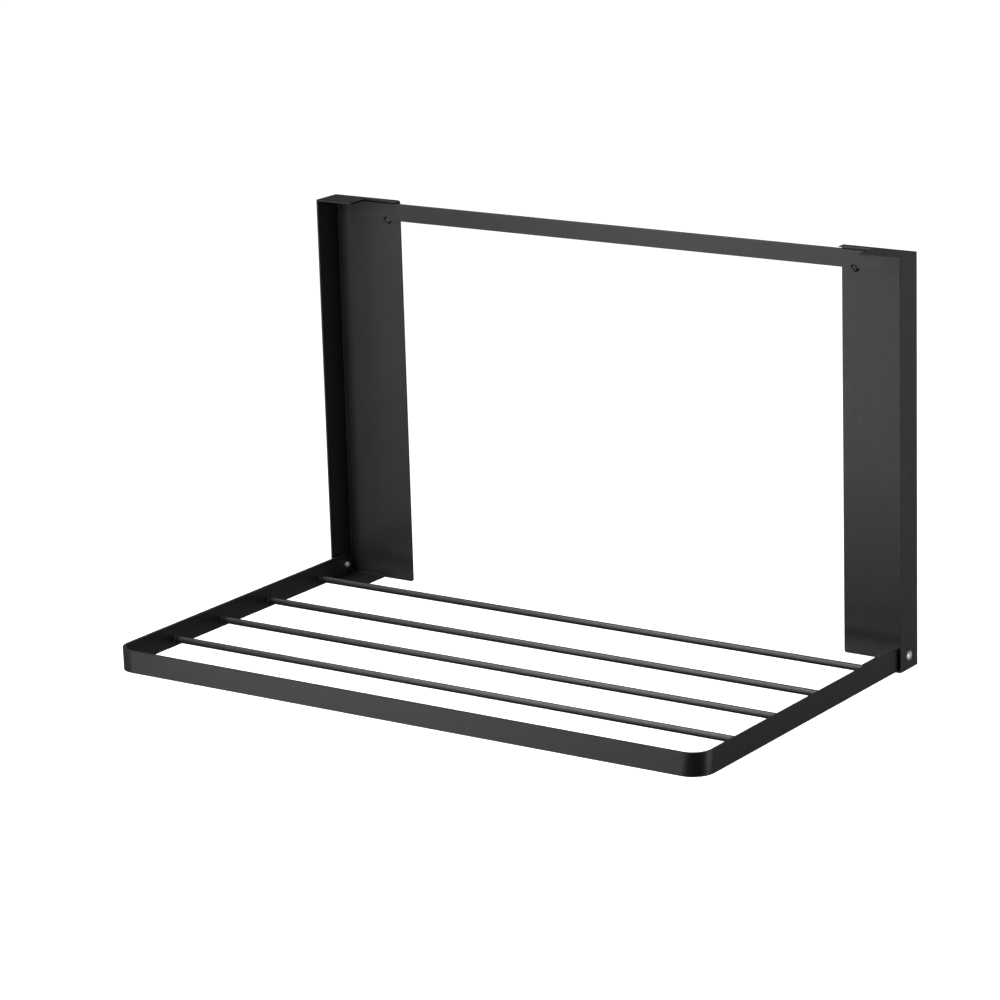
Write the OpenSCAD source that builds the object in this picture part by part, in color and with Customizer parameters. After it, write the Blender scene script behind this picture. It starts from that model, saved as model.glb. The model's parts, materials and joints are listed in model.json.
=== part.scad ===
// Wall-hung fold-down rack: two bent sheet uprights joined by a flat crossbar, and a
// flat-bar shelf frame with four cross rods that swings up about two pivot rivets.
// Millimetres. X is the width, -Y is the front, +Z is up.
// The origin is midway between the two wall-fixing holes, on the wall plane.

/* [Overall] */
// Outer width across the two uprights
rack_w = 1000; // [800:10:1200]
// Height of the uprights
upright_h = 600; // [500:10:800]
// Reach of the open shelf, measured from the wall
shelf_reach = 588.5; // [560:0.5:640]

/* [Uprights] */
// Sheet thickness of the uprights
sheet_t = 2.5; // [2:0.5:3]
// Width of each back plate
plate_w = 119; // [100:1:140]
// Depth of the side flange, measured from the wall
flange_d = 52.5; // [46:0.5:60]
// Width of the top and bottom flanges, measured from the outer face
flange_w = 65; // [50:1:80]
// Depth of the narrow lip along the top of the back plate, measured from the wall
lip_d = 12.5; // [10:0.5:16]
// Outside radius of the bends
bend_r = 3.5; // [3:0.5:4]
// Radius of the free corners of the sheet
corner_r = 4; // [2:0.5:6]

/* [Wall fixing] */
// Radius of each fixing hole in the back plates
fix_hole_r = 3.5; // [2.5:0.1:4]
// Radius of the notches in the crossbar that the screw heads sit in
notch_r = 6; // [5:0.1:7]
// Distance between the two fixing holes
fix_spacing = 806; // [780:1:820]
// Depth of the fixing holes below the top of the uprights
fix_drop = 32.5; // [32:0.5:34]

/* [Crossbar] */
// Length of the crossbar
crossbar_l = 952; // [900:1:980]
// Height of the crossbar
crossbar_h = 26; // [22:0.5:28]
// Thickness of the crossbar
crossbar_t = 5; // [4:0.5:6]
// Depth of the crossbar's top edge below the top of the uprights
crossbar_drop = 5.5; // [4:0.5:6]

/* [Shelf] */
// Outer width of the bent shelf band
band_w = 991; // [780:1:1191]
// Height of the band
band_h = 33; // [30:1:36]
// Thickness of the band
band_t = 5; // [4:0.5:6]
// Outside radius of the band's two front corners
band_corner_r = 32; // [20:1:45]
// Radius of each cross rod
rod_r = 5; // [4:0.5:6]
// Height of the rods' axes above the band's lower edge
rod_lift = 10; // [6:0.5:20]
// Distance of the first rod from the wall
rod_1_y = 92.5; // [80:0.5:100]
// Distance of the second rod from the wall
rod_2_y = 223.5; // [200:0.5:240]
// Distance of the third rod from the wall
rod_3_y = 338.5; // [320:0.5:350]
// Distance of the fourth rod from the wall
rod_4_y = 450.5; // [430:0.5:470]

/* [Pivots] */
// Distance of the pivot axis from the wall
pivot_y = 26.5; // [25:0.5:28]
// Radius of the rivet shanks
shank_r = 3.2; // [2.5:0.1:4]
// Radius of the outer rivet heads
head_r = 7.5; // [5:0.1:8]
// Height of the outer rivet heads
head_h = 2.5; // [1.5:0.1:3]
// Radius of the formed tails inside the shelf
tail_r = 4.5; // [4:0.1:6]
// Height of the formed tails
tail_h = 5; // [3:0.1:6]
// Radius of the spacer washers
washer_r = 9; // [7:0.5:12]

/* [Hidden] */

$fn = 64;

// Gap between the shelf and the frame wherever they pass each other
gap = 0.3;
// Radial play of the rivet shank in the shelf band
running_play = 0.07;
// Length added to a cutter so that it leaves no skin
over = 1;

half_w = rack_w / 2;
top_z = fix_drop;
bottom_z = top_z - upright_h;
plate_front = -sheet_t;
flange_inner_x = half_w - sheet_t;
plate_inner_x = half_w - plate_w;
tab_inner_x = half_w - flange_w;
bend_inner_r = bend_r - sheet_t;

crossbar_top = top_z - crossbar_drop;
crossbar_front = plate_front - crossbar_t;

band_half = band_w / 2;
band_bottom = bottom_z + sheet_t + gap;
band_inner_x = band_half - band_t;
pivot_z = band_bottom + band_h / 2;
rod_z = band_bottom + rod_lift;
rod_y = [rod_1_y, rod_2_y, rod_3_y, rod_4_y];
washer_t = flange_inner_x - band_half - gap;

coat = [0.10, 0.10, 0.105];
zinc = [0.75, 0.76, 0.78];

// Rectangle from (x0, y0) to (x1, y1) with its corner at (x1, y1) rounded.
module one_round_corner(x0, y0, x1, y1, r) {
  difference() {
    translate([x0, y0]) square([x1 - x0, y1 - y0]);
    difference() {
      translate([x1 - r, y1 - r]) square(r + over);
      translate([x1 - r, y1 - r]) circle(r);
    }
  }
}

// Cuts the corner at (x, y) of a sheet to a radius; sx and sy point out of the sheet.
module corner_cut(x, y, sx, sy, r) {
  translate([x, y]) mirror([sx < 0 ? 1 : 0, 0]) mirror([0, sy < 0 ? 1 : 0])
    difference() {
      translate([-r, -r]) square(r + over);
      translate([-r, -r]) circle(r);
    }
}

// Block with its rear outer edge, rear top edge and rear bottom edge rounded, as the
// bends of the sheet leave them. It reaches from the front plane y0 back to y1.
module bent_block(x0, x1, y0, y1, z0, z1, r) {
  intersection() {
    translate([0, 0, z0]) linear_extrude(z1 - z0) one_round_corner(x0, y0, x1, y1, r);
    translate([x0, 0, 0]) rotate([90, 0, 90]) linear_extrude(x1 - x0)
      difference() {
        translate([y0, z0]) square([y1 - y0, z1 - z0]);
        corner_cut(y1, z1, 1, 1, r);
        corner_cut(y1, z0, 1, -1, r);
      }
  }
}

// Takes the top flange back to a narrow lip, and rounds the corners this leaves.
module top_flange_cut() {
  translate([0, 0, top_z - sheet_t - over]) linear_extrude(sheet_t + 2 * over)
    difference() {
      union() {
        translate([plate_inner_x - over, -flange_d - over])
          square([tab_inner_x - plate_inner_x + over, flange_d - lip_d + over]);
        corner_cut(tab_inner_x, -flange_d, -1, -1, corner_r);
      }
      corner_cut(tab_inner_x, -lip_d, 1, 1, corner_r);
    }
}

// Takes the bottom flange away from the inner part of the back plate.
module bottom_flange_cut() {
  cut_h = sheet_t + over;
  translate([0, 0, bottom_z - over]) linear_extrude(cut_h + bend_inner_r)
    union() {
      translate([plate_inner_x - over, -flange_d - over])
        square([tab_inner_x - plate_inner_x + over, flange_d - sheet_t + over]);
      corner_cut(tab_inner_x, -flange_d, -1, -1, corner_r);
    }
}

// Rounds the two inner corners of the back plate, the upper one through the lip as well.
module free_corner_cuts() {
  translate([0, over, 0]) rotate([90, 0, 0]) linear_extrude(lip_d + 2 * over)
    union() {
      corner_cut(plate_inner_x, bottom_z, -1, -1, corner_r);
      corner_cut(plate_inner_x, top_z, -1, 1, corner_r);
    }
}

// One upright, drawn on the right and mirrored for the left.
module upright() {
  difference() {
    bent_block(plate_inner_x, half_w, -flange_d, 0, bottom_z, top_z, bend_r);
    bent_block(
      plate_inner_x - over, flange_inner_x, -flange_d - over, plate_front,
      bottom_z + sheet_t, top_z - sheet_t, bend_inner_r
    );
    top_flange_cut();
    bottom_flange_cut();
    free_corner_cuts();
    translate([fix_spacing / 2, over, 0]) rotate([90, 0, 0])
      cylinder(r = fix_hole_r, h = sheet_t + 2 * over);
    translate([flange_inner_x - over, -pivot_y, pivot_z]) rotate([0, 90, 0])
      cylinder(r = shank_r, h = sheet_t + 2 * over);
  }
}

module left_upright() {
  color(coat) mirror([1, 0, 0]) upright();
}

module right_upright() {
  color(coat) upright();
}

// Flat bar across the two back plates. A round notch in its lower edge gives each screw
// head room to sit on the back plate.
module crossbar() {
  color(coat) difference() {
    translate([-crossbar_l / 2, crossbar_front, crossbar_top - crossbar_h])
      cube([crossbar_l, crossbar_t, crossbar_h]);
    for (side = [-1, 1])
      translate([side * fix_spacing / 2, plate_front + over, 0]) rotate([90, 0, 0])
        cylinder(r = notch_r, h = crossbar_t + 2 * over);
  }
}

// Plan outline of the U-shaped band, open at the wall end.
module band_outline(inset) {
  x = band_half - inset;
  y = shelf_reach - inset;
  r = band_corner_r - inset;
  translate([-x, -y + r]) square([2 * x, y - r - pivot_y]);
  translate([-x + r, -y]) square([2 * (x - r), r + over]);
  for (side = [-1, 1])
    translate([side * (x - r), -y + r]) circle(r);
}

// Shelf band: one flat bar on edge, bent round two front corners. Its rear ends are
// rounded about the pivot so that they clear the back plates as the shelf swings.
module shelf_band() {
  color(coat) difference() {
    union() {
      translate([0, 0, band_bottom]) linear_extrude(band_h)
        difference() {
          band_outline(0);
          union() {
            band_outline(band_t);
            translate([-band_inner_x, -pivot_y - over]) square([2 * band_inner_x, 2 * over]);
          }
        }
      for (side = [-1, 1])
        translate([side * (band_half - band_t / 2) - band_t / 2, -pivot_y, pivot_z])
          rotate([0, 90, 0]) cylinder(r = band_h / 2, h = band_t);
    }
    for (side = [-1, 1])
      translate([side * (band_half - band_t / 2) - band_t / 2 - over, -pivot_y, pivot_z])
        rotate([0, 90, 0]) cylinder(r = shank_r + running_play, h = band_t + 2 * over);
  }
}

// One cross rod, butted between the two arms of the band.
module rod(i) {
  color(coat) translate([-band_inner_x, -rod_y[i], rod_z]) rotate([0, 90, 0])
    cylinder(r = rod_r, h = 2 * band_inner_x);
}

// Low dome of radius r and height h, standing on z = 0.
module dome(r, h) {
  ball_r = (r * r + h * h) / (2 * h);
  rotate_extrude() intersection() {
    translate([0, h - ball_r]) circle(ball_r, $fn = 180);
    square([r, h]);
  }
}

// Pivot rivet, drawn on the right: outer dome head, shank and formed tail.
module pivot_rivet() {
  tail_face = band_inner_x - gap;
  collar_h = tail_h / 2;
  translate([0, -pivot_y, pivot_z]) {
    translate([half_w, 0, 0]) rotate([0, 90, 0]) dome(head_r, head_h);
    translate([tail_face, 0, 0]) rotate([0, 90, 0])
      cylinder(r = shank_r, h = half_w - tail_face);
    translate([tail_face - collar_h, 0, 0]) rotate([0, 90, 0])
      cylinder(r = tail_r, h = collar_h);
    translate([tail_face - collar_h, 0, 0]) rotate([0, -90, 0])
      dome(tail_r, tail_h - collar_h);
  }
}

module left_pivot_rivet() {
  color(zinc) mirror([1, 0, 0]) pivot_rivet();
}

module right_pivot_rivet() {
  color(zinc) pivot_rivet();
}

// Spacer washer on the rivet, between the side flange and the band.
module spacer_washer() {
  translate([flange_inner_x - washer_t, -pivot_y, pivot_z]) rotate([0, 90, 0])
    difference() {
      cylinder(r = washer_r, h = washer_t);
      translate([0, 0, -over]) cylinder(r = shank_r, h = washer_t + 2 * over);
    }
}

module left_spacer_washer() {
  color(zinc) mirror([1, 0, 0]) spacer_washer();
}

module right_spacer_washer() {
  color(zinc) spacer_washer();
}

left_upright();
right_upright();
crossbar();
shelf_band();
rod(0);  // rod_1
rod(1);  // rod_2
rod(2);  // rod_3
rod(3);  // rod_4
left_pivot_rivet();
right_pivot_rivet();
left_spacer_washer();
right_spacer_washer();
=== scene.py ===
"""Looks of the wall-hung fold-down rack: powder-coated steel, zinc-plated pivots, small
weld beads, a pale floor, soft studio light and the camera. Metres, in the frame of the
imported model: +X is the width, -Y is the front, +Z is up."""

import json
import math

import bmesh
import bpy
from mathutils import Matrix, Vector, noise


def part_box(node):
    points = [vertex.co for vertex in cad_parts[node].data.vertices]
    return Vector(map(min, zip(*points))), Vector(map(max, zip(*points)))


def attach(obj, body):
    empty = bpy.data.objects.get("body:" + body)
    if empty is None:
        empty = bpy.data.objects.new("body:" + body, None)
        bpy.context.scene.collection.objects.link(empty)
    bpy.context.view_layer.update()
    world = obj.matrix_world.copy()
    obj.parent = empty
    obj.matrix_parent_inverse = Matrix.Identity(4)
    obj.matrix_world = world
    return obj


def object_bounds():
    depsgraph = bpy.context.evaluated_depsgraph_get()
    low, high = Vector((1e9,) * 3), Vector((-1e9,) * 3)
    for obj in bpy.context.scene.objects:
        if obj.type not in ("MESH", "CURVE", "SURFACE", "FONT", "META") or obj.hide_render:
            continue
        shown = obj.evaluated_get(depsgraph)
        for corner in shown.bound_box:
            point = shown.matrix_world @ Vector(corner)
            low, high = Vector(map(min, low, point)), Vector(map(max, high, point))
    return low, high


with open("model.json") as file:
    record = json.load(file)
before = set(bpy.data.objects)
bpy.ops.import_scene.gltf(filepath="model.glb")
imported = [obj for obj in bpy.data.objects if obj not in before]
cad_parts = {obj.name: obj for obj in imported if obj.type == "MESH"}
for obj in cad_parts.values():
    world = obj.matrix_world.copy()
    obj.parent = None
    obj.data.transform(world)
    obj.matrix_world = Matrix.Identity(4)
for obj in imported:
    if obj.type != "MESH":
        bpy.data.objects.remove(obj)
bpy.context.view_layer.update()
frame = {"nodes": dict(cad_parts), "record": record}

MM = 0.001
COAT_SLOT = "black_powder_coat"
UPRIGHTS = ("left_upright", "right_upright")
RODS = sorted(name for name in frame["nodes"] if name.startswith("rod_"))

COAT_EDGE = 0.4 * MM     # edge radius of sheet and bar under the coat
ZINC_EDGE = 0.12 * MM    # edge radius of the turned pivot parts
SCREW_EDGE = 0.12 * MM   # edge radius of the wall screws


def new_object(name, mesh, material):
    """Turns a finished bmesh into an object of the scene, with one material."""
    data = bpy.data.meshes.new(name)
    mesh.to_mesh(data)
    mesh.free()
    data.materials.append(material)
    piece = bpy.data.objects.new(name, data)
    bpy.context.scene.collection.objects.link(piece)
    return piece


def side_label(side):
    return "right" if side > 0 else "left"


# ---------------------------------------------------------------- camera

CAMERA_PLACE = (3.0408, -4.7457, 1.1341)
CAMERA_HEADING = math.radians(34.453)
CAMERA_PITCH = math.radians(15.073)
CAMERA_ROLL = math.radians(-1.731)
CAMERA_LENS = 141.5
CAMERA_SENSOR = 36.0
CAMERA_REACH = 200.0


def make_camera():
    """The camera stands in front and to the right, and looks slightly down."""
    data = bpy.data.cameras.new("camera")
    data.lens = CAMERA_LENS
    data.sensor_width = CAMERA_SENSOR
    data.clip_end = CAMERA_REACH
    camera = bpy.data.objects.new("camera", data)
    bpy.context.scene.collection.objects.link(camera)
    upright = Matrix.Rotation(math.radians(90) - CAMERA_PITCH, 4, "X")
    roll = Matrix.Rotation(CAMERA_ROLL, 4, "Z")
    heading = Matrix.Rotation(CAMERA_HEADING, 4, "Z")
    camera.matrix_world = Matrix.Translation(CAMERA_PLACE) @ heading @ upright @ roll
    bpy.context.scene.camera = camera


# ---------------------------------------------------------------- materials


class Recipe:
    """A material under construction, with short calls for the nodes it needs."""

    def __init__(self, name):
        self.material = bpy.data.materials.new(name)
        self.material.use_nodes = True
        self.tree = self.material.node_tree
        self.shader = self.tree.nodes["Principled BSDF"]
        self.place = self.add("ShaderNodeTexCoord").outputs["Object"]

    def add(self, kind, **settings):
        node = self.tree.nodes.new(kind)
        for key, value in settings.items():
            setattr(node, key, value)
        return node

    def link(self, source, target):
        self.tree.links.new(source, target)

    def noise(self, feature, detail=2.0, stretch=(1, 1, 1), rough=0.5):
        """Noise from 0 to 1 whose features are about that many metres across."""
        mapping = self.add("ShaderNodeMapping")
        mapping.inputs["Scale"].default_value = [s / feature for s in stretch]
        self.link(self.place, mapping.inputs["Vector"])
        texture = self.add("ShaderNodeTexNoise")
        texture.inputs["Scale"].default_value = 1.0
        texture.inputs["Detail"].default_value = detail
        texture.inputs["Roughness"].default_value = rough
        self.link(mapping.outputs["Vector"], texture.inputs["Vector"])
        return texture.outputs["Fac"]

    def range(self, source, low, high, to_low=0.0, to_high=1.0):
        """Takes the values between low and high to the range to_low to to_high."""
        node = self.add("ShaderNodeMapRange")
        self.link(source, node.inputs["Value"])
        values = {"From Min": low, "From Max": high, "To Min": to_low, "To Max": to_high}
        for key, value in values.items():
            node.inputs[key].default_value = value
        return node.outputs["Result"]

    def maths(self, operation, *values):
        """One maths step on sockets or plain numbers."""
        node = self.add("ShaderNodeMath", operation=operation)
        for socket, value in zip(node.inputs, values):
            if isinstance(value, (int, float)):
                socket.default_value = value
            else:
                self.link(value, socket)
        return node.outputs["Value"]

    def mix(self, amount, first, second):
        """Mixes two colours, each a socket or three numbers."""
        node = self.add("ShaderNodeMix", data_type="RGBA")
        self.link(amount, node.inputs[0])
        for socket, value in ((node.inputs[6], first), (node.inputs[7], second)):
            if isinstance(value, tuple):
                socket.default_value = (*value, 1.0)
            else:
                self.link(value, socket)
        return node.outputs[2]

    def edges(self, radius):
        """1 on corners sharper than that radius, 0 on flats."""
        bevel = self.add("ShaderNodeBevel", samples=6)
        bevel.inputs["Radius"].default_value = radius
        flat = self.add("ShaderNodeNewGeometry").outputs["Normal"]
        dot = self.add("ShaderNodeVectorMath", operation="DOT_PRODUCT")
        self.link(bevel.outputs["Normal"], dot.inputs[0])
        self.link(flat, dot.inputs[1])
        return self.range(dot.outputs["Value"], 0.995, 0.88)

    def bump(self, height, distance, strength=1.0, below=None):
        """Relief of that many metres, laid over the relief below it if one is given."""
        node = self.add("ShaderNodeBump")
        node.inputs["Distance"].default_value = distance
        node.inputs["Strength"].default_value = strength
        self.link(height, node.inputs["Height"])
        if below is not None:
            self.link(below, node.inputs["Normal"])
        return node.outputs["Normal"]


def powder_coat():
    """Satin black powder coat: orange peel, fine pores, uneven gloss, slightly rubbed edges."""
    recipe = Recipe("powder_coat")
    shader = recipe.shader
    cloud = recipe.noise(0.16, 3.0)
    mottle = recipe.noise(0.011, 3.0)
    peel = recipe.noise(1.6 * MM, 1.5)
    pores = recipe.noise(0.5 * MM, 1.0)
    edge = recipe.edges(0.9 * MM)
    patches = recipe.range(recipe.noise(0.02, 4.0), 0.45, 0.7, 0.15, 1.0)
    worn = recipe.maths("MULTIPLY", edge, patches)

    deep = (0.0108, 0.0108, 0.0113)
    pale = (0.0128, 0.0128, 0.0134)
    rubbed = (0.045, 0.045, 0.046)
    base = recipe.mix(recipe.range(cloud, 0.3, 0.7), deep, pale)
    base = recipe.mix(recipe.maths("MULTIPLY", worn, 0.6), base, rubbed)
    recipe.link(base, shader.inputs["Base Color"])

    gloss = recipe.range(mottle, 0.3, 0.7, -0.02, 0.02)
    gloss = recipe.maths("ADD", gloss, recipe.range(cloud, 0.3, 0.7, 0.395, 0.425))
    gloss = recipe.maths("SUBTRACT", gloss, recipe.maths("MULTIPLY", worn, 0.10))
    recipe.link(gloss, shader.inputs["Roughness"])

    normal = recipe.bump(peel, 0.12 * MM, 0.8)
    normal = recipe.bump(pores, 0.025 * MM, 0.6, below=normal)
    recipe.link(normal, shader.inputs["Normal"])
    shader.inputs["IOR"].default_value = 1.5
    return recipe.material


def turned_zinc(name, axis_y, axis_z):
    """Satin zinc plate with a faint blue cast: rings turned about the pivot axis, blotches
    and fine scratches."""
    recipe = Recipe(name)
    shader = recipe.shader
    split = recipe.add("ShaderNodeSeparateXYZ")
    recipe.link(recipe.place, split.inputs["Vector"])
    across = recipe.maths("SUBTRACT", split.outputs["Y"], axis_y)
    up = recipe.maths("SUBTRACT", split.outputs["Z"], axis_z)
    across_square = recipe.maths("POWER", across, 2.0)
    up_square = recipe.maths("POWER", up, 2.0)
    radius = recipe.maths("SQRT", recipe.maths("ADD", across_square, up_square))
    rings = recipe.add("ShaderNodeTexNoise", noise_dimensions="1D")
    rings.inputs["Scale"].default_value = 1 / (0.22 * MM)
    rings.inputs["Detail"].default_value = 3.0
    recipe.link(radius, rings.inputs["W"])
    ring = rings.outputs["Fac"]
    blotch = recipe.noise(2.4 * MM, 3.0)
    scratch = recipe.noise(0.5 * MM, 3.0, stretch=(1, 0.25, 3))

    bright = (0.82, 0.84, 0.87)
    dull = (0.66, 0.67, 0.69)
    colour = recipe.mix(recipe.range(blotch, 0.35, 0.7), bright, dull)
    recipe.link(colour, shader.inputs["Base Color"])
    gloss = recipe.range(ring, 0.3, 0.7, 0.46, 0.58)
    gloss = recipe.maths("ADD", gloss, recipe.range(scratch, 0.4, 0.7, 0.0, 0.08))
    recipe.link(gloss, shader.inputs["Roughness"])
    normal = recipe.bump(ring, 0.012 * MM, 0.6)
    normal = recipe.bump(scratch, 0.006 * MM, 0.4, below=normal)
    recipe.link(normal, shader.inputs["Normal"])
    shader.inputs["Metallic"].default_value = 1.0
    return recipe.material


def floor_paint():
    """Pale matt stage paint, which gives off enough light to stay white at any angle."""
    recipe = Recipe("studio_floor")
    shader = recipe.shader
    mottle = recipe.range(recipe.noise(0.6, 3.0), 0.3, 0.7)
    colour = recipe.mix(mottle, (0.88, 0.88, 0.88), (0.90, 0.90, 0.90))
    recipe.link(colour, shader.inputs["Base Color"])
    shader.inputs["Roughness"].default_value = 0.9
    shader.inputs["Specular IOR Level"].default_value = 0.1
    shader.inputs["Emission Color"].default_value = (1.0, 1.0, 1.0, 1.0)
    shader.inputs["Emission Strength"].default_value = 1.0
    return recipe.material


# ---------------------------------------------------------------- CAD nodes


def round_edges(piece, width, segments, sharp):
    """Rounds each edge that turns by more than the angle sharp."""
    bevel = piece.modifiers.new("edge_radius", "BEVEL")
    bevel.width = width
    bevel.segments = segments
    bevel.limit_method = "ANGLE"
    bevel.angle_limit = sharp
    bevel.harden_normals = True
    return bevel


def soften_edges(piece, width):
    """Gives every sharp edge of a CAD node a small real radius, by modifiers only.
    Absolute offsets keep the corner bevels from running on along nearly parallel edges."""
    weld = piece.modifiers.new("join_faces", "WELD")
    weld.merge_threshold = 0.001 * MM
    flat = piece.modifiers.new("merge_flats", "DECIMATE")
    flat.decimate_type = "DISSOLVE"
    flat.angle_limit = math.radians(0.5)
    bevel = round_edges(piece, width, 3, math.radians(30))
    bevel.offset_type = "ABSOLUTE"
    bevel.use_clamp_overlap = False


def finish_cad_nodes(coat):
    """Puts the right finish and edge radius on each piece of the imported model."""
    slots = {s["node"]: s["material_slot"] for s in frame["record"]["subparts"]}
    for name, piece in frame["nodes"].items():
        if slots[name] == COAT_SLOT:
            piece.data.materials[0] = coat
            soften_edges(piece, COAT_EDGE)
        else:
            low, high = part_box(name)
            centre = (low + high) / 2
            piece.data.materials[0] = turned_zinc(name + "_zinc", centre.y, centre.z)
            soften_edges(piece, ZINC_EDGE)


# ---------------------------------------------------------------- weld beads


def join_rings(mesh, rings, closed=False):
    """Joins each ring of points to the next one with faces, and gives the rings' vertices."""
    rows = [[mesh.verts.new(p) for p in ring] for ring in rings]
    pairs = list(zip(rows, rows[1:]))
    if closed:
        pairs.append((rows[-1], rows[0]))
    for a, b in pairs:
        for i in range(len(a)):
            j = (i + 1) % len(a)
            mesh.faces.new((a[i], a[j], b[j], b[i]))
    return rows


def ring_piece(name, rings, closed, coat, body):
    """One solid piece through a row of rings, riding on a body. Closed, it is a loop."""
    mesh = bmesh.new()
    rows = join_rings(mesh, rings, closed)
    if not closed:
        mesh.faces.new(rows[0])
        mesh.faces.new(list(reversed(rows[-1])))
    bmesh.ops.recalc_face_normals(mesh, faces=mesh.faces)
    for face in mesh.faces:
        face.smooth = True
    piece = new_object(name, mesh, coat)
    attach(piece, body)
    return piece


BEAD_SINK = 0.3 * MM     # how far a bead reaches into the metal on either side
BEAD_BULGE = 0.12        # crown of a bead over its straight chord, as a share of its leg


def bead_section(leg):
    """Section of a bead in a corner: each point is its distance from either surface."""
    arc_points = 6
    points = [(-BEAD_SINK, -BEAD_SINK), (leg, -BEAD_SINK)]
    for i in range(arc_points + 1):
        t = i / arc_points
        crown = math.sin(math.pi * t) * BEAD_BULGE * leg
        points.append((leg * (1 - t) + crown, leg * t + crown))
    points.append((-BEAD_SINK, leg))
    return points


def rod_weld(rod, side, coat):
    """The small bead round one end of a rod, where it meets the arm of the band."""
    low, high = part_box(rod)
    centre = (low + high) / 2
    rod_r = (high.z - low.z) / 2
    face = high.x if side > 0 else low.x
    leg, steps, waves = 1.9 * MM, 72, 9
    rings = []
    for k in range(steps):
        turn = 2 * math.pi * k / steps
        across, up = math.cos(turn), math.sin(turn)
        seed = Vector((1.4 * across + 7.3 * side, 1.4 * up + centre.y * 40, 1.7))
        ripple = 1 + 0.16 * noise.noise(seed) + 0.05 * math.sin(waves * turn)
        ring = []
        for out, along in bead_section(leg * ripple):
            r = rod_r + out
            ring.append((face - side * along, centre.y + r * across, centre.z + r * up))
        rings.append(ring)
    ring_piece(f"{rod}_{side_label(side)}_weld", rings, True, coat, "shelf")


def crossbar_weld(side, coat):
    """The upright bead where one end of the crossbar meets the back plate."""
    low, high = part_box("crossbar")
    face = high.x if side > 0 else low.x
    plate = high.y
    leg, steps, margin, wave = 2.6 * MM, 48, 2.0 * MM, 0.35 * MM
    start, end = low.z + margin, high.z - margin
    rings = []
    for k in range(steps + 1):
        t = k / steps
        z = start + t * (end - start)
        swell = min(1.0, 0.35 + 4.0 * math.sin(math.pi * t))
        seed = Vector((3.1 * side, 5.2, z * 260))
        ripple = swell * (1 + 0.12 * noise.noise(seed) + 0.05 * math.sin(z / wave))
        section = bead_section(leg * ripple)
        rings.append([(face + side * out, plate - along, z) for out, along in section])
    ring_piece(f"crossbar_{side_label(side)}_weld", rings, False, coat, "frame")


# ---------------------------------------------------------------- wall screws


SCREW_SHANK_R = 3.0 * MM
SCREW_HEAD_R = 5.5 * MM
SCREW_HEAD_H = 3.6 * MM
SCREW_CROWN_R = 2.2 * MM     # flat top of the domed head
SCREW_RIM_H = 0.3 * MM       # straight side under the dome
SCREW_UNDERCUT = 0.15 * MM   # chamfer where the head meets the plate
SOCKET_FLATS = 3.0 * MM      # hexagon socket, across its flats
SOCKET_DEPTH = 1.7 * MM
SOCKET_POINT_R = 0.2 * MM    # small flat at the end of the socket's cone
SOCKET_POINT_H = 0.4 * MM


def circle_reach(radius):
    return lambda turn: radius


def hexagon_reach(flats):
    """Distance from the centre to a hexagon with that distance across flats, by angle."""
    sector = math.radians(60)
    return lambda turn: flats / 2 / math.cos(turn % sector - sector / 2)


def wall_screw(side, coat):
    """A low black button-head screw in one fixing hole, its head on the back plate."""
    mount = next(m for m in frame["record"]["mounts"] if m["kind"] == "bolt_pattern")
    centre = Vector(mount["pos_m"])
    centre.x += side * mount["dims"]["spacing_x_mm"] * MM / 2
    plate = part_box("crossbar")[1].y
    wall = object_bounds()[1].y
    top = plate - SCREW_HEAD_H
    socket_end = top + SOCKET_DEPTH
    turn_steps, dome_steps = 48, 8
    turns = [2 * math.pi * k / turn_steps for k in range(turn_steps)]

    outline = [
        (circle_reach(SCREW_SHANK_R), wall),
        (circle_reach(SCREW_SHANK_R), plate),
        (circle_reach(SCREW_HEAD_R - SCREW_UNDERCUT), plate),
    ]
    for k in range(dome_steps + 1):
        rise = math.radians(90) * k / dome_steps
        radius = SCREW_CROWN_R + (SCREW_HEAD_R - SCREW_CROWN_R) * math.cos(rise)
        height = SCREW_RIM_H + (SCREW_HEAD_H - SCREW_RIM_H) * math.sin(rise)
        outline.append((circle_reach(radius), plate - height))
    outline.append((hexagon_reach(SOCKET_FLATS), top))
    outline.append((hexagon_reach(SOCKET_FLATS), socket_end))
    outline.append((circle_reach(SOCKET_POINT_R), socket_end + SOCKET_POINT_H))

    rings = []
    for reach, y in outline:
        ring = []
        for turn in turns:
            r = reach(turn)
            ring.append((centre.x + r * math.cos(turn), y, centre.z + r * math.sin(turn)))
        rings.append(ring)
    piece = ring_piece(f"{side_label(side)}_wall_screw", rings, False, coat, "frame")
    round_edges(piece, SCREW_EDGE, 2, math.radians(35))


def make_small_parts(coat):
    for side in (-1, 1):
        for rod in RODS:
            rod_weld(rod, side, coat)
        crossbar_weld(side, coat)
        wall_screw(side, coat)


# ---------------------------------------------------------------- stage and light


FLOOR_REACH = 60.0
FLOOR_DROP = 0.45            # clear height under the rack
WALL_SIDES = 96
WALL_PROFILE = (             # radius as a share of the floor's reach, height
    (0.90, -0.01),
    (0.95, 0.8),
    (0.98, 4.0),
    (0.98, 45.0),
)


def stage_piece(name, mesh, paint, height):
    """A stage object that the camera sees but the rack neither reflects nor is lit by."""
    piece = new_object(name, mesh, paint)
    piece.location = (0, 0, height)
    piece.visible_glossy = False
    piece.visible_diffuse = False
    return piece


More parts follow.
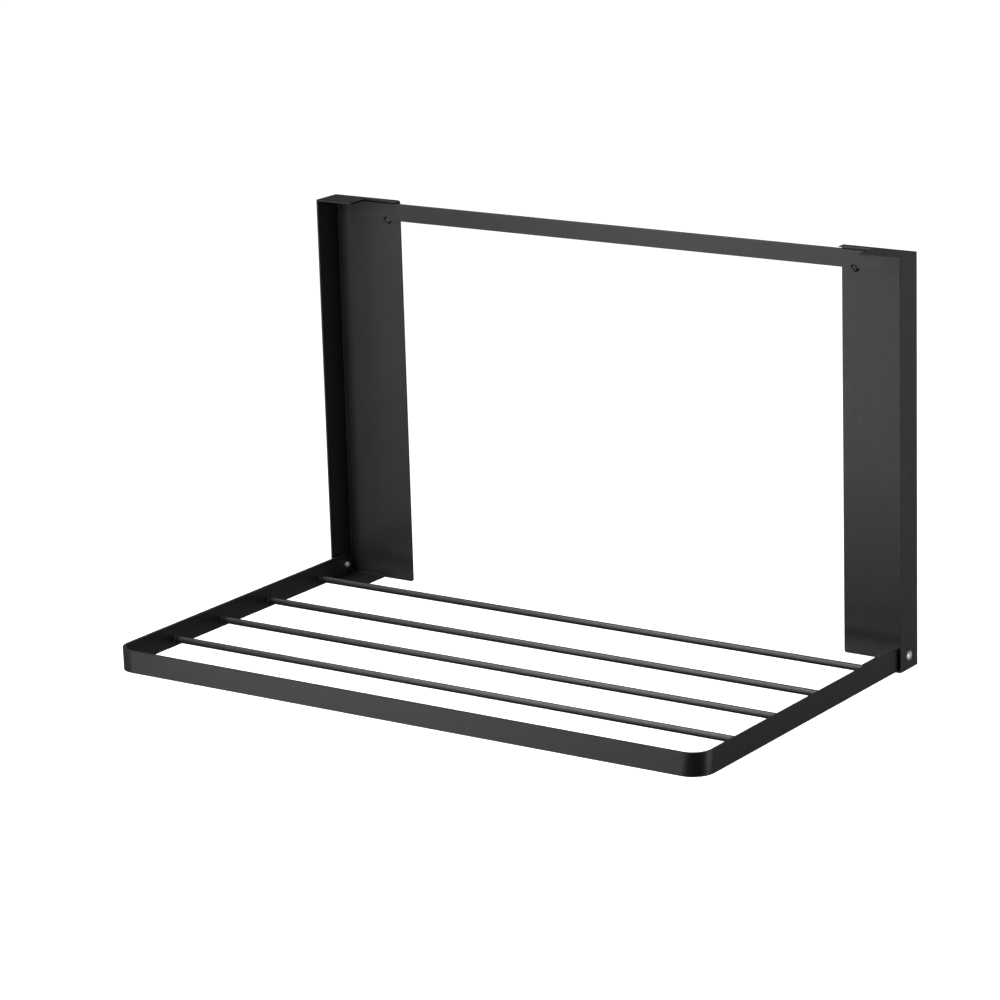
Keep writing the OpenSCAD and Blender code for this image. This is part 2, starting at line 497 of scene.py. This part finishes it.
def make_stage():
    """A wide floor below the rack and, far off, a tall round wall that hides the horizon."""
    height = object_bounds()[0].z - FLOOR_DROP
    paint = floor_paint()
    floor = bmesh.new()
    bmesh.ops.create_grid(floor, x_segments=8, y_segments=8, size=FLOOR_REACH)
    stage_piece("studio_floor", floor, paint, height)

    turns = [2 * math.pi * k / WALL_SIDES for k in range(WALL_SIDES)]
    rings = []
    for share, z in WALL_PROFILE:
        r = share * FLOOR_REACH
        rings.append([(r * math.cos(turn), r * math.sin(turn), z) for turn in turns])
    wall = bmesh.new()
    join_rings(wall, rings)
    backdrop = stage_piece("studio_wall", wall, paint, height)
    backdrop.visible_shadow = False


CARD_RISE = 0.034
CARD_GAP = 0.006             # in front of the flange
CARD_LIFT = 0.002            # above the flange
CARD_SPAN = 0.56             # share of the upright's width that the full flange takes
CARD_OVERHANG = 0.020        # past either end of the flange


def black_cloth():
    """Dull black cloth for the cards."""
    recipe = Recipe("black_cloth")
    shader = recipe.shader
    weave = recipe.range(recipe.noise(0.8 * MM, 2.0), 0.3, 0.7)
    colour = recipe.mix(weave, (0.010, 0.010, 0.010), (0.016, 0.016, 0.016))
    recipe.link(colour, shader.inputs["Base Color"])
    shader.inputs["Roughness"].default_value = 0.9
    shader.inputs["Specular IOR Level"].default_value = 0.2
    return recipe.material


def make_cards():
    """A low black card stands before each top flange, unseen by the camera. It keeps the
    key light off that flat, which from behind would mirror it as pure white."""
    cloth = black_cloth()
    for name in UPRIGHTS:
        low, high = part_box(name)
        width = CARD_SPAN * (high.x - low.x)
        inner = low.x if low.x < 0 else high.x - width
        start, end = inner - CARD_OVERHANG, inner + width + CARD_OVERHANG
        y, foot = low.y - CARD_GAP, high.z + CARD_LIFT
        head = foot + CARD_RISE
        corners = ((start, y, foot), (end, y, foot), (end, y, head), (start, y, head))
        card = bmesh.new()
        card.faces.new([card.verts.new(corner) for corner in corners])
        piece = new_object(name + "_card", card, cloth)
        piece.visible_camera = False


WORLD_LIGHT = 0.06


def softbox(name, place, aim, width, height, power):
    """A rectangular soft light of that many watts at place, turned to face aim."""
    data = bpy.data.lights.new(name, "AREA")
    data.shape = "RECTANGLE"
    data.size = width
    data.size_y = height
    data.energy = power
    lamp = bpy.data.objects.new(name, data)
    lamp.location = place
    lamp.rotation_euler = (Vector(aim) - Vector(place)).to_track_quat("-Z", "Y").to_euler()
    lamp.visible_camera = False
    bpy.context.scene.collection.objects.link(lamp)


def make_light():
    """Soft boxes round the rack, the strong ones before and above it, over a faint white
    surrounding light."""
    world = bpy.data.worlds.new("studio")
    world.use_nodes = True
    sky = world.node_tree.nodes["Background"]
    sky.inputs["Color"].default_value = (1.0, 1.0, 1.0, 1.0)
    sky.inputs["Strength"].default_value = WORLD_LIGHT
    bpy.context.scene.world = world
    centre = (0.0, -0.3, -0.27)
    shelf_middle = (0.0, -0.3, -0.4)
    softbox("key", (-0.65, -1.70, 0.45), centre, 0.8, 0.8, 14.5)
    softbox("high_front", (-0.80, -1.20, 0.95), centre, 0.8, 0.8, 8.0)
    softbox("low_front", (-0.50, -1.70, -0.75), centre, 1.4, 0.5, 5.8)
    softbox("left_front", (-0.85, -1.70, -0.20), centre, 0.5, 0.5, 2.4)
    softbox("left", (-2.20, -1.10, -0.05), centre, 1.0, 1.4, 7.0)
    softbox("overhead", (-0.50, -0.30, 1.20), shelf_middle, 0.9, 0.8, 11.0)
    softbox("overhead_left", (-1.80, -0.30, 2.70), centre, 1.5, 1.5, 50.0)
    softbox("right", (3.22, 0.27, -0.70), centre, 1.5, 1.5, 25.0)
    softbox("back_top", (0.0, 2.30, 1.75), centre, 1.5, 1.5, 3.5)
    softbox("back_right", (2.10, 2.20, -0.72), centre, 1.5, 1.5, 3.2)
    softbox("rear", (0.0, 3.20, -0.35), centre, 2.4, 1.2, 9.0)
    bpy.context.scene.view_settings.view_transform = "Standard"


make_camera()
coat = powder_coat()
finish_cad_nodes(coat)
make_small_parts(coat)
make_stage()
make_cards()
make_light()
